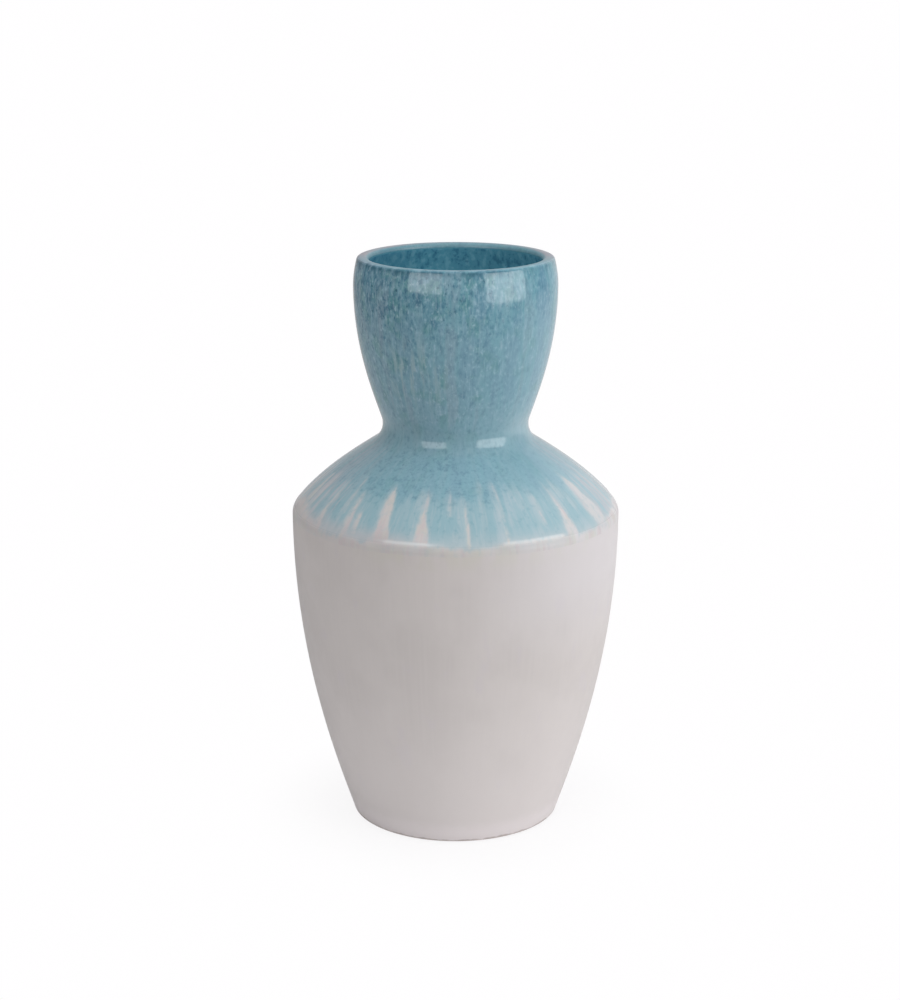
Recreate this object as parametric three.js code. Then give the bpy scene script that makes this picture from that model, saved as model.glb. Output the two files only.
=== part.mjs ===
// A glazed terracotta vase: a tapered body, a sharp domed shoulder, a narrow waist and a cup-shaped neck.
// The clay is three thrown sections, luted with slip at the widest ring and at the narrowest one.
// Three fired coats cover it: cream outside on the body, blue outside above it and over the lip, and a liner.
// Millimetres and degrees, +Z up, origin at the centre of the foot, on the surface that the vase stands on.

import * as THREE from 'three';

// Outline of the outer glaze, from the foot up
const footRadius = 64.2;
const bodyHeight = 192.6; // foot to the seam at the shoulder's edge
const shoulderRadius = 100;
const shoulderRise = 55.7; // seam at the shoulder's edge to the seam at the waist
const waistRadius = 44.4;
const waistRounding = 12.2;
const neckHeight = 101.7; // seam at the waist to the top of the lip
const cupRadius = 61.4;
const cupDrop = 17.5; // widest ring of the cup, below the top of the lip
const lipTuck = 2.1; // how far the wall draws in from there to the lip

// How far the wall leans from vertical, in degrees
const footLean = 18.6;
const edgeLean = 39; // where the shoulder's rounded edge ends
const shoulderLean = 57; // where the shoulder runs into the waist
const neckLean = 19.2; // where the neck leaves the waist
const lipLean = 14;

// How long each curve keeps its lean at either end, as a share of its straight length
const footPull = 0.19;
const bellyPull = 0.46;
const shoulderPull = 0.33;
const neckPull = 0.22;
const cupPull = 0.44;
const lipPull = 0.3;
const crestPull = 0.6;
const floorPull = 0.5;

// Walls and coats
const wall = 6;
const glaze = 0.8;
const liner = 0.8;
const slip = 0.8; // fired height of each luted seam
const floorThickness = 9;
const floorCorner = 16; // inside, where the wall runs into the floor
const edgeCorner = 1.2; // rounding inside the shoulder's edge
const clayLip = 2.1; // rounding of the bare clay from the lip's crest into the mouth

// Foot
const glazeStop = 1; // the glaze ends this high, to stay off the kiln shelf
const footBevel = 1.2;
const footRing = 9; // width of the flat ring that the vase stands on
const footRecess = 4;
const recessBevel = 1.5;

// Facets; the surfaces inside the pot have half as many
const aroundSteps = 40;
const bellySteps = 10;
const edgeSteps = 4;
const domeSteps = 6;
const waistSteps = 4;
const neckSteps = 2;
const cupSteps = 6;
const tuckSteps = 2;
const lipSteps = 3;
const floorSteps = 3;

const point = (radius, level) => new THREE.Vector2(radius, level);

// The way that a wall with this lean runs as it climbs. Past 90 degrees it runs down again.
function heading(lean) {
  const angle = THREE.MathUtils.degToRad(lean);
  return point(-Math.sin(angle), Math.cos(angle));
}

// The way that the outside of such a wall faces, square to its heading.
function facing(way) {
  return point(way.y, -way.x);
}

// A smooth stretch between two points, leaving and arriving with the headings given.
// It is a cubic curve, so its heading is the quadratic curve of the steps between its control points.
function sweep(start, startWay, startPull, end, endWay, endPull, steps) {
  const reach = start.distanceTo(end);
  const control = [
    start,
    start.clone().addScaledVector(startWay, startPull * reach),
    end.clone().addScaledVector(endWay, -endPull * reach),
    end,
  ];
  const curve = new THREE.CubicBezierCurve(...control);
  const ways = control.slice(1).map((next, i) => next.clone().sub(control[i]));
  const way = new THREE.QuadraticBezierCurve(...ways);
  return Array.from({ length: steps + 1 }, (_, i) => ({
    at: curve.getPoint(i / steps),
    out: facing(way.getPoint(i / steps).normalize()),
  }));
}

// A round stretch about a centre, from one lean to another. A hollow one has its centre outside the wall.
function round(centre, radius, fromLean, toLean, steps, hollow = false) {
  return Array.from({ length: steps + 1 }, (_, i) => {
    const out = facing(heading(THREE.MathUtils.lerp(fromLean, toLean, i / steps)));
    return { at: centre.clone().addScaledVector(out, hollow ? -radius : radius), out };
  });
}

// An upright stretch
function upright(radius, bottom, top) {
  return [bottom, top].map((level) => ({ at: point(radius, level), out: facing(heading(0)) }));
}

// Stretches joined end to end, with each shared point kept once.
function chain(...stretches) {
  return stretches.flatMap((places, i) => (i === 0 ? places : places.slice(1)));
}

// The points that lie a depth under a stretch.
function under(places, depth) {
  return places.map(({ at, out }) => at.clone().addScaledVector(out, -depth));
}

// The same points from the other end, as the back of a wall needs them.
function back(places, depth) {
  return under(places, depth).reverse();
}

// Both ends and every second place, for the surfaces inside the pot.
function coarse(places) {
  return places.filter((_, i) => i % 2 === 0 || i === places.length - 1);
}

// Where a wall that climbs in straight facets reaches a level.
function placeAt(places, level) {
  const next = places.findIndex(({ at }) => at.y > level);
  const [below, above] = [places[next - 1], places[next]];
  const share = (level - below.at.y) / (above.at.y - below.at.y);
  return {
    at: below.at.clone().lerp(above.at, share),
    out: below.out.clone().lerp(above.out, share).normalize(),
  };
}

const up = heading(0);
const inwards = heading(90);
const lipWay = heading(lipLean);
const toCavity = glaze + wall;
const thickness = toCavity + liner;

// Belly, from the edge of the glaze at the foot to the seam at the shoulder
const edgeBottom = bodyHeight - slip / 2;
const edgeTop = bodyHeight + slip / 2;
const belly = sweep(
  point(footRadius, glazeStop), heading(-footLean), footPull,
  point(shoulderRadius, edgeBottom), up, bellyPull,
  bellySteps,
);
const edgeBand = upright(shoulderRadius, edgeBottom, edgeTop);

// Waist
const waistHeight = bodyHeight + shoulderRise;
const waistBottom = waistHeight - slip / 2;
const waistTop = waistHeight + slip / 2;
const waistCentre = waistRadius + waistRounding;
const waistIn = round(point(waistCentre, waistBottom), waistRounding, shoulderLean, 0, waistSteps, true);
const waistBand = upright(waistRadius, waistBottom, waistTop);
const waistOut = round(point(waistCentre, waistTop), waistRounding, 0, -neckLean, neckSteps, true);

// Shoulder: its edge is round about the same centre inside and outside
const edgeRounding = thickness + edgeCorner;
const edge = round(point(shoulderRadius - edgeRounding, edgeTop), edgeRounding, 0, edgeLean, edgeSteps);
const dome = sweep(
  edge.at(-1).at, heading(edgeLean), shoulderPull,
  waistIn[0].at, heading(shoulderLean), shoulderPull,
  domeSteps,
);
const shoulderWall = chain(edge, dome, waistIn);

// Lip: the wall ends square to its lean, nearly flat towards the outside and round into the mouth
const height = waistHeight + neckHeight;
const lipRounding = clayLip + glaze;
const lipOut = facing(lipWay);
const mouthHeight = height - lipRounding * (1 + lipOut.y);
const lipStart = point(cupRadius - lipTuck, mouthHeight + thickness * lipOut.y);
const crestCentre = lipStart.clone().addScaledVector(lipOut, lipRounding - thickness);
const crest = point(crestCentre.x, height);
const lip = chain(
  sweep(lipStart, lipWay, lipPull, crest, inwards, crestPull, lipSteps),
  round(crestCentre, lipRounding, 90, 180 + lipLean, lipSteps),
);

// Neck
const cupWidest = point(cupRadius, height - cupDrop);
const neckWall = chain(
  waistOut,
  sweep(waistOut.at(-1).at, heading(-neckLean), neckPull, cupWidest, up, cupPull, cupSteps),
  sweep(cupWidest, up, shoulderPull, lipStart, lipWay, shoulderPull, tuckSteps),
);

// Inside of the lower body: the belly's wall down to the corner, and the corner
const floorTop = footRecess + floorThickness;
const bellyPlaces = coarse(belly);
const bellyBack = under(bellyPlaces, toCavity).map((at, i) => ({ at, out: bellyPlaces[i].out }));
const cornerStart = placeAt(bellyBack, floorTop + floorCorner);
const bellyInside = [cornerStart, ...bellyBack.filter(({ at }) => at.y > cornerStart.at.y)];
const floorCurve = sweep(
  cornerStart.at, facing(cornerStart.out), floorPull,
  point(cornerStart.at.x - floorCorner, floorTop), inwards, floorPull,
  floorSteps,
);

// The cavity's face under a coat of this thickness, from the lower body's top to the middle of the floor.
function lowerCavity(coat) {
  return [...back(bellyInside, coat), ...under(floorCurve.slice(1), -coat), point(0, floorTop + coat)];
}

// A piece turned from its half section, whose points go round it once with the material on their left.
// Each facet is split along the diagonal that falls with the turn, so faces that lie together are split alike.
function turned(name, section, material) {
  const points = section[0].x === 0 ? section : [...section, section[0]];
  const geometry = new THREE.LatheGeometry(points, aroundSteps).rotateX(Math.PI / 2);
  const index = [];
  for (let turn = 0; turn < aroundSteps; turn += 1) {
    for (let row = 0; row < points.length - 1; row += 1) {
      const a = turn * points.length + row;
      const b = a + points.length;
      const climb = points[row + 1].y - points[row].y || points[row + 1].x - points[row].x;
      if (climb > 0) index.push(a, b, a + 1, b + 1, a + 1, b);
      else index.push(a, b, b + 1, a, b + 1, a + 1);
    }
  }
  geometry.setIndex(index);
  const mesh = new THREE.Mesh(geometry, material);
  mesh.name = name;
  return mesh;
}

function finish(color, roughness) {
  return new THREE.MeshStandardMaterial({ color, roughness, metalness: 0 });
}

const clayColor = 0xb9714f;
const slipColor = 0xc07d5c;
const creamColor = 0xd2ccc6;
const blueColor = 0x6fa5b8;
const linerColor = 0x2f6f88;

// Lower body: foot ring, recessed base, floor and tapered wall, thrown as one
function lowerBody() {
  const ringOutside = footRadius - glaze - footBevel;
  const ringInside = ringOutside - footRing;
  return turned('lower_body', [
    point(0, footRecess),
    point(ringInside - recessBevel, footRecess),
    point(ringInside, 0),
    point(ringOutside, 0),
    ...under(belly, glaze),
    ...lowerCavity(0),
  ], finish(clayColor, 0.85));
}

// Shoulder: the dome between the two seams
function shoulder() {
  return turned('shoulder', [
    ...under(shoulderWall, glaze),
    ...back(coarse(shoulderWall), toCavity),
  ], finish(clayColor, 0.85));
}

// Neck: the cup above the waist, up to the clay of the lip
function neckCup() {
  return turned('neck_cup', [
    ...under(chain(neckWall, lip.slice(0, -1)), glaze),
    ...back(coarse(neckWall), toCavity),
  ], finish(clayColor, 0.85));
}

// Luting slip of a seam, fired to a flat ring as wide as the wall
function seam(name, band) {
  return turned(name, [...under(band, glaze), ...back(band, toCavity)], finish(slipColor, 0.9));
}

// Cream coat: the outside of the body, up to the shoulder's seam
function creamCoat() {
  return turned('cream_glaze', [...under(belly, 0), ...back(belly, glaze)], finish(creamColor, 0.15));
}

// Blue coat: the outside from the shoulder's seam up, and over the lip into the mouth
function blueCoat() {
  const covered = chain(edgeBand, shoulderWall, waistBand, neckWall, lip);
  return turned('blue_glaze', [...under(covered, 0), ...back(covered, glaze)], finish(blueColor, 0.12));
}

// Liner: the poured coat inside, from the mouth down to the floor
function linerCoat() {
  const cavity = chain(edgeBand, coarse(shoulderWall), waistBand, coarse(neckWall));
  const face = (coat) => [...back(cavity, toCavity + coat), ...lowerCavity(coat).slice(1)];
  return turned('liner_glaze', [...face(0).reverse(), ...face(liner)], finish(linerColor, 0.12));
}

const clay = new THREE.Group();
clay.add(
  lowerBody(),
  seam('shoulder_seam', edgeBand),
  shoulder(),
  seam('waist_seam', waistBand),
  neckCup(),
);

const coats = new THREE.Group();
coats.add(creamCoat(), blueCoat(), linerCoat());

const vase = new THREE.Group();
vase.add(clay, coats);

export default vase;
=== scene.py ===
# A glazed terracotta vase on a pale sweep: cream below, speckled blue dipped over the neck and shoulder.
import math

import bmesh
import bpy
import numpy as np
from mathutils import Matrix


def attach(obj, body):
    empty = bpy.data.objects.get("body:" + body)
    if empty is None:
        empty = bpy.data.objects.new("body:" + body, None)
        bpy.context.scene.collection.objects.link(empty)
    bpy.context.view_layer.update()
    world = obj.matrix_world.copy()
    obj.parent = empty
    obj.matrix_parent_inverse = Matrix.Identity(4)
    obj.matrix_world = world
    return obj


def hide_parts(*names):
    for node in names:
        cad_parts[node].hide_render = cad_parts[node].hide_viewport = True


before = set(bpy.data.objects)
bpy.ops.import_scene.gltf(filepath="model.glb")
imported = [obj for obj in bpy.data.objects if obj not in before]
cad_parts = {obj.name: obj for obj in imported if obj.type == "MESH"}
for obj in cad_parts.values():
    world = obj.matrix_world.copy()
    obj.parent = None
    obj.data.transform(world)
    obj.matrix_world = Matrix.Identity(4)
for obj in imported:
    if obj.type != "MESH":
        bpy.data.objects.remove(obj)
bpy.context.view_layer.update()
mm = 0.001


# Camera and studio

view = {
    "place": (-0.0034, -1.2766, 0.5456),
    "down": 15.186,  # degrees below level
    "lens": 77.53,  # mm, on a sensor 36 mm high
    "sensor": 36,
}


def addCamera():
    camera = bpy.data.cameras.new("camera")
    camera.sensor_fit = "VERTICAL"
    camera.sensor_height = view["sensor"]
    camera.sensor_width = view["sensor"]
    camera.lens = view["lens"]
    holder = bpy.data.objects.new("camera", camera)
    holder.location = view["place"]
    holder.rotation_euler = (math.radians(90 - view["down"]), 0, 0)
    bpy.context.scene.collection.objects.link(holder)
    bpy.context.scene.camera = holder


# Each lamp is a flat panel that faces the vase: where it stands, its size, and how bright its face is.
lamps = {
    "rightBox": {"azimuth": 57.5, "away": 1.5, "level": 0.66, "width": 1.36, "height": 1.2, "face": 2.68},
    "leftBox": {"azimuth": -34.4, "away": 1.5, "level": 0.84, "width": 1.08, "height": 1.02, "face": 2.04},
    "sidePanel": {"azimuth": 108, "away": 1.8, "level": 0.7, "width": 1.6, "height": 1.4, "face": 1.1,
                  "mirrored": False},
    "topPanel": {"azimuth": 0, "away": 0.1, "level": 1.7, "width": 1.8, "height": 1.8, "face": 2.1,
                 "tilt": 0, "mirrored": False},
}


def addLamp(name, box):
    lamp = bpy.data.lights.new(name, "AREA")
    lamp.shape = "RECTANGLE"
    lamp.size = box["width"]
    lamp.size_y = box["height"]
    # a face of brightness 1 and area A needs A times pi watts
    lamp.energy = box["face"] * box["width"] * box["height"] * math.pi
    holder = bpy.data.objects.new(name, lamp)
    turn = math.radians(box["azimuth"])
    holder.location = (box["away"] * math.sin(turn), -box["away"] * math.cos(turn), box["level"])
    holder.rotation_euler = (math.radians(box.get("tilt", 90)), 0, turn)
    holder.visible_camera = False
    holder.visible_glossy = box.get("mirrored", True)
    bpy.context.scene.collection.objects.link(holder)


room = {
    "ambient": (0.11, 0.108, 0.11),
    "floorColor": (0.94, 0.935, 0.94),
    "white": (1, 0.994, 1),
    "front": -0.41,  # the sweep's near edge
    "left": -2.4,
    "right": 3,
    "mirrored": 0.7,  # how bright gloss shows the sweep, at most
    "leftFade": (-1.6, 0.6),  # that dims away from the second of these towards the first
    "rightFade": (3, 1.2),
    "frontFade": (-0.4, 0.3),
    "dimmed": 0.36,
    "bend": 1.2,  # where the floor starts to curve up
    "bendRadius": 1,
    "bendSteps": 16,
    "top": 2.5,
    "shadowKept": 0.12,  # how much of its real shade the floor keeps near the vase
    "shadowFrom": 0.06, "shadowReach": 0.14,  # from full to none, by distance from the axis
}


def addRoom():
    world = bpy.data.worlds.new("room")
    bpy.context.scene.world = world
    world.use_nodes = True
    world.node_tree.nodes["Background"].inputs["Color"].default_value = (*room["ambient"], 1)
    world.node_tree.nodes["Background"].inputs["Strength"].default_value = 1
    # the sweep: a level floor, a quarter round and a wall, as one sheet
    turn = np.linspace(0, math.pi / 2, room["bendSteps"] + 1)
    along = np.r_[room["front"], room["bend"] + room["bendRadius"] * np.sin(turn)]
    rise = np.r_[0, room["bendRadius"] * (1 - np.cos(turn))]
    along = np.r_[along, along[-1]]
    rise = np.r_[rise, room["top"]]
    sides = np.array([room["left"], room["right"]])
    places = np.stack([
        np.tile(sides, len(along)), np.repeat(along, 2), np.repeat(rise, 2),
    ], axis=1)
    row = np.arange(len(along) - 1)[:, None] * 2
    faces = row + np.array([0, 1, 3, 2])
    mesh = bpy.data.meshes.new("sweep")
    mesh.from_pydata(places.tolist(), [], faces.tolist())
    mesh.shade_smooth()
    mesh.materials.append(sweepMaterial())
    sweep = bpy.data.objects.new("sweep", mesh)
    bpy.context.scene.collection.objects.link(sweep)


# Small helpers for shader nodes

def setInputs(tree, node, inputs):
    # a socket is linked, and any other value is written on the input itself
    for key, value in inputs.items():
        if isinstance(value, bpy.types.NodeSocket):
            tree.links.new(value, node.inputs[key])
        else:
            node.inputs[key].default_value = value
    return node


def place(tree, kind, inputs=None, **settings):
    node = tree.nodes.new(kind)
    for key, value in settings.items():
        setattr(node, key, value)
    return setInputs(tree, node, inputs or {})


def calc(tree, operation, a, b=0, c=0, clamp=False):
    return place(tree, "ShaderNodeMath", {0: a, 1: b, 2: c}, operation=operation, use_clamp=clamp).outputs[0]


def times(tree, a, b):
    return calc(tree, "MULTIPLY", a, b)


def fromHalf(tree, mask, strength, base=0):
    # a mask's swing about its middle, with this strength, on top of a base
    return calc(tree, "MULTIPLY_ADD", calc(tree, "SUBTRACT", mask, 0.5), strength, base)


def vectorCalc(tree, operation, a, b=(0, 0, 0)):
    return place(tree, "ShaderNodeVectorMath", {0: a, 1: b}, operation=operation).outputs["Vector"]


def scaled(tree, vector, factor):
    node = place(tree, "ShaderNodeVectorMath", {0: vector, "Scale": factor}, operation="SCALE")
    return node.outputs["Vector"]


def joined(tree, x, y, z):
    return place(tree, "ShaderNodeCombineXYZ", {"X": x, "Y": y, "Z": z}).outputs[0]


def objectPlace(tree):
    return place(tree, "ShaderNodeTexCoord").outputs["Object"]


def placeParts(tree):
    return place(tree, "ShaderNodeSeparateXYZ", {0: objectPlace(tree)}).outputs


def ramp(tree, value, low, high, outLow=0, outHigh=1):
    # a soft step from outLow to outHigh as value goes from low to high
    node = place(tree, "ShaderNodeMapRange", {
        "Value": value, "From Min": low, "From Max": high, "To Min": outLow, "To Max": outHigh,
    }, interpolation_type="SMOOTHSTEP")
    return node.outputs["Result"]


def shade(red, green, blue):
    # a colour as a screen shows it, 0 to 255, turned into the linear one that shaders use
    seen = np.array([red, green, blue]) / 255
    linear = np.where(seen <= 0.04045, seen / 12.92, ((seen + 0.055) / 1.055) ** 2.4)
    return (*linear.tolist(), 1)


def blendColor(tree, share, a, b, kind="MIX"):
    node = place(tree, "ShaderNodeMix", {0: share, 6: a, 7: b}, data_type="RGBA", blend_type=kind)
    node.clamp_factor = True
    return node.outputs[2]


def coated(tree, color, share, tone):
    # a share of one more colour, given as a screen shows it, over the colour so far
    return blendColor(tree, share, color, shade(*tone))


def bumped(tree, height, strength, distance):
    bump = place(tree, "ShaderNodeBump", {"Height": height, "Strength": strength, "Distance": distance})
    return bump.outputs["Normal"]


def newMaterial(name):
    material = bpy.data.materials.new(name)
    material.use_nodes = True
    tree = material.node_tree
    return material, tree, tree.nodes["Principled BSDF"]


def sweepMaterial():
    material, tree, _ = newMaterial("paleSweep")
    tree.nodes.clear()
    output = place(tree, "ShaderNodeOutputMaterial")
    cloth = place(tree, "ShaderNodeBsdfDiffuse", {"Color": (*room["floorColor"], 1)})
    # the sweep is white where the camera sees it, and dims to the sides in what gloss shows
    rays = place(tree, "ShaderNodeLightPath").outputs
    parts = placeParts(tree)
    level = ramp(tree, parts["X"], *room["leftFade"], room["dimmed"], 1)
    level = times(tree, level, ramp(tree, parts["X"], *room["rightFade"], room["dimmed"], 1))
    level = times(tree, level, ramp(tree, parts["Y"], *room["frontFade"], room["dimmed"], 1))
    level = calc(tree, "MAXIMUM", rays["Is Camera Ray"], times(tree, level, room["mirrored"]))
    white = place(tree, "ShaderNodeEmission", {"Color": (*room["white"], 1), "Strength": level})
    seen = calc(tree, "ADD", rays["Is Camera Ray"], rays["Is Glossy Ray"], clamp=True)
    seen = calc(tree, "ADD", seen, rays["Is Transmission Ray"], clamp=True)
    # near the foot part of the real shade shows through, and further off none
    away = place(tree, "ShaderNodeVectorMath", {0: objectPlace(tree)}, operation="LENGTH").outputs["Value"]
    kept = ramp(tree, away, room["shadowFrom"], room["shadowReach"], 1 - room["shadowKept"], 1)
    share = times(tree, seen, kept)
    mixed = place(tree, "ShaderNodeMixShader", {0: share, 1: cloth.outputs[0], 2: white.outputs[0]})
    tree.links.new(mixed.outputs[0], output.inputs["Surface"])
    return material


# Shared effects, each a node group with its own sizes in millimetres and one output, Mask

runCircle = 75  # mm, the radius on which the runs' width is measured


def newGroup(name, **inputs):
    group = bpy.data.node_groups.new(name, "ShaderNodeTree")
    for label, value in inputs.items():
        socket = group.interface.new_socket(label, in_out="INPUT", socket_type="NodeSocketFloat")
        socket.default_value = value
    group.interface.new_socket("Mask", in_out="OUTPUT", socket_type="NodeSocketFloat")
    start = group.nodes.new("NodeGroupInput").outputs
    end = group.nodes.new("NodeGroupOutput").inputs
    return group, start, end


def useGroup(tree, group, **values):
    return setInputs(tree, place(tree, "ShaderNodeGroup", node_tree=group), values).outputs["Mask"]


def shifted(tree, spot, aside, rise):
    return vectorCalc(tree, "ADD", spot, joined(tree, aside, 0, rise))


def addNoise(tree, spot, detail, target):
    noise = place(tree, "ShaderNodeTexNoise", {
        "Vector": spot, "Scale": 1, "Detail": detail, "Roughness": 0.55,
    })
    tree.links.new(noise.outputs["Fac"], target)


def stretched(tree, size, stretch):
    # the place in space, counted in blots of this size in millimetres, with the height squeezed
    spot = scaled(tree, objectPlace(tree), calc(tree, "DIVIDE", 1 / mm, size))
    return vectorCalc(tree, "MULTIPLY", spot, joined(tree, 1, 1, calc(tree, "DIVIDE", 1, stretch)))


def runsGroup():
    # Noise drawn out down the wall: the place round the axis is taken on a circle of one radius, so that
    # the runs narrow towards the waist as glaze does, and the height is squeezed by Length.
    group, start, end = newGroup("glazeRuns", Width=2, Length=20, Detail=3, Shift=0)
    parts = placeParts(group)
    circle = vectorCalc(group, "NORMALIZE", joined(group, parts["X"], parts["Y"], 0))
    circle = scaled(group, circle, calc(group, "DIVIDE", runCircle, start["Width"]))
    rise = calc(group, "DIVIDE", times(group, parts["Z"], 1 / mm), start["Length"])
    spot = shifted(group, circle, start["Shift"], calc(group, "ADD", rise, start["Shift"]))
    addNoise(group, spot, start["Detail"], end["Mask"])
    return group


def cloudGroup():
    # Noise in space with blots about Size across, and Stretch times as tall.
    group, start, end = newGroup("glazeCloud", Size=5, Stretch=1, Detail=3, Shift=0)
    spot = stretched(group, start["Size"], start["Stretch"])
    spot = shifted(group, spot, start["Shift"], start["Shift"])
    addNoise(group, spot, start["Detail"], end["Mask"])
    return group


def specksGroup():
    # Separate specks: one in each cell about Spacing across, Size across at most, in Share of the cells.
    # Ragged bends their outlines with a finer noise.
    group, start, end = newGroup(
        "glazeSpecks", Spacing=3, Size=1, Stretch=1, Share=0.5, Ragged=0.15, Shift=0,
    )
    spot = stretched(group, start["Spacing"], start["Stretch"])
    spot = shifted(group, spot, start["Shift"], start["Shift"])
    bend = place(group, "ShaderNodeTexNoise", {"Vector": spot, "Scale": 3, "Detail": 1}).outputs["Color"]
    bend = vectorCalc(group, "SUBTRACT", bend, (0.5, 0.5, 0.5))
    spot = vectorCalc(group, "ADD", spot, scaled(group, bend, times(group, start["Ragged"], 2)))
    cells = place(group, "ShaderNodeTexVoronoi", {"Vector": spot, "Scale": 1}).outputs
    dice = place(group, "ShaderNodeSeparateColor", {0: cells["Color"]}).outputs
    # each speck reaches from 0.3 to 1 of half its size, and fades over the outer part of that
    reach = calc(group, "DIVIDE", times(group, start["Size"], 0.5), start["Spacing"])
    reach = times(group, reach, calc(group, "MULTIPLY_ADD", dice["Red"], 0.7, 0.3))
    depth = calc(group, "SUBTRACT", 1, calc(group, "DIVIDE", cells["Distance"], reach))
    dot = ramp(group, depth, 0, 0.6)
    chosen = calc(group, "LESS_THAN", dice["Green"], start["Share"])
    group.links.new(times(group, dot, chosen), end["Mask"])
    return group


# The vase's outline, worked out from the frame: the same stretches as the solids, but finely divided

shape = {
    "footLean": 18.6, "edgeLean": 39, "shoulderLean": 57, "neckLean": 19.2, "lipLean": 14,  # degrees
    "footPull": 0.19, "bellyPull": 0.46, "shoulderPull": 0.33, "neckPull": 0.22,
    "cupPull": 0.44, "lipPull": 0.3, "crestPull": 0.6,  # shares of each curve's straight length
    "waistRounding": 12.2 * mm, "edgeCorner": 1.2 * mm, "clayLip": 2.1 * mm,
    "cupDrop": 17.5 * mm, "lipTuck": 2.1 * mm, "floorCorner": 16 * mm, "floorPull": 0.5,
    "cornerClear": 0.5 * mm,
    "domeEase": 1.3,  # above 1, so that the dome's rows lie closer near the edge
}
stretchSteps = {
    "edge": 22, "dome": 66, "waist": 10, "waistOut": 5, "neck": 40, "tuck": 8, "lip": 8, "mouth": 8,
}
wallNames = ("edgeBand", "edge", "dome", "waistIn", "waistBand", "waistOut", "neck", "tuck")
cornerSteps = 14
floorSteps = 15
# pieces that the coats hide are coarser
innerFineness = 0.6
innerSteps = 60
closeBy = 0.01 * mm  # what still counts as at a level or on the axis
mergeReach = 1e-7
sharpTurn = 50  # degrees, above which an edge is shown sharp


def cadPlaces(node):
    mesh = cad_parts[node].data
    places = np.empty(len(mesh.vertices) * 3)
    mesh.vertices.foreach_get("co", places)
    places = places.reshape(-1, 3)
    return np.hypot(places[:, 0], places[:, 1]), places[:, 2]


def readSizes():
    found = {}
    radius, level = cadPlaces("cream_glaze")
    found["glazeStop"] = level.min()
    found["footRadius"] = radius[level < level.min() + closeBy].max()
    radius, level = cadPlaces("blue_glaze")
    found["height"] = level.max()
    found["shoulderRadius"] = radius.max()
    radius, level = cadPlaces("shoulder_seam")
    found["edgeBottom"] = level.min()
    found["edgeTop"] = level.max()
    found["glaze"] = found["shoulderRadius"] - radius.max()
    found["wall"] = radius.max() - radius.min()
    radius, level = cadPlaces("waist_seam")
    found["waistBottom"] = level.min()
    found["waistTop"] = level.max()
    found["waistRadius"] = radius.max() + found["glaze"]
    inside = radius.min()
    radius, level = cadPlaces("liner_glaze")
    atWaist = (level > found["waistBottom"] - closeBy) & (level < found["waistTop"] + closeBy)
    found["liner"] = inside - radius[atWaist].min()
    radius, level = cadPlaces("neck_cup")
    found["cupRadius"] = radius.max() + found["glaze"]
    radius, level = cadPlaces("lower_body")
    found["ringOutside"] = radius[level < closeBy].max()
    found["ringInside"] = radius[level < closeBy].min()
    onAxis = level[radius < closeBy]
    found["recess"] = onAxis.min()
    found["floorTop"] = onAxis.max()
    return found


size = readSizes()


def wayOf(lean):
    # the way a wall runs as it climbs, with this lean from upright in degrees
    turn = np.radians(lean)
    return np.stack([-np.sin(turn), np.cos(turn)], axis=-1)


def facingOf(way):
    return np.stack([way[..., 1], -way[..., 0]], axis=-1)


def cubicOf(start, after, before, end, share):
    # A cubic curve from start to end, with its two guiding places between. share runs from 0 to 1. The way
    # that it runs is its own derivative.
    t = share[:, None]
    at = (1 - t) ** 3 * start + 3 * (1 - t) ** 2 * t * after + 3 * (1 - t) * t ** 2 * before + t ** 3 * end
    way = (1 - t) ** 2 * (after - start) + 2 * (1 - t) * t * (before - after) + t ** 2 * (end - before)
    return at, way / np.linalg.norm(way, axis=1, keepdims=True)


def sweepOf(start, startLean, startPull, end, endLean, endPull, share):
    # a cubic curve that leaves and arrives with the leans given
    reach = np.linalg.norm(end - start)
    after = start + wayOf(startLean) * startPull * reach
    before = end - wayOf(endLean) * endPull * reach
    at, way = cubicOf(start, after, before, end, share)
    return at, facingOf(way)


def roundOf(centre, radius, leans, hollow=False):
    # a round stretch about a centre. A hollow one has its centre outside the wall.
    out = facingOf(wayOf(leans))
    return centre + out * (-radius if hollow else radius), out


def uprightOf(radius, low, high):
    at = np.array([[radius, low], [radius, high]])
    return at, np.tile([1, 0], (2, 1))


def chainOf(*stretches):
    at = np.vstack([stretches[0][0]] + [s[0][1:] for s in stretches[1:]])
    out = np.vstack([stretches[0][1]] + [s[1][1:] for s in stretches[1:]])
    return at, out


def even(steps, ease=1):
    return np.linspace(0, 1, steps + 1) ** ease


def bellyOf(steps):
    return sweepOf(
        np.array([size["footRadius"], size["glazeStop"]]), -shape["footLean"], shape["footPull"],
        np.array([size["shoulderRadius"], size["edgeBottom"]]), 0, shape["bellyPull"], even(steps),
    )


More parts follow.
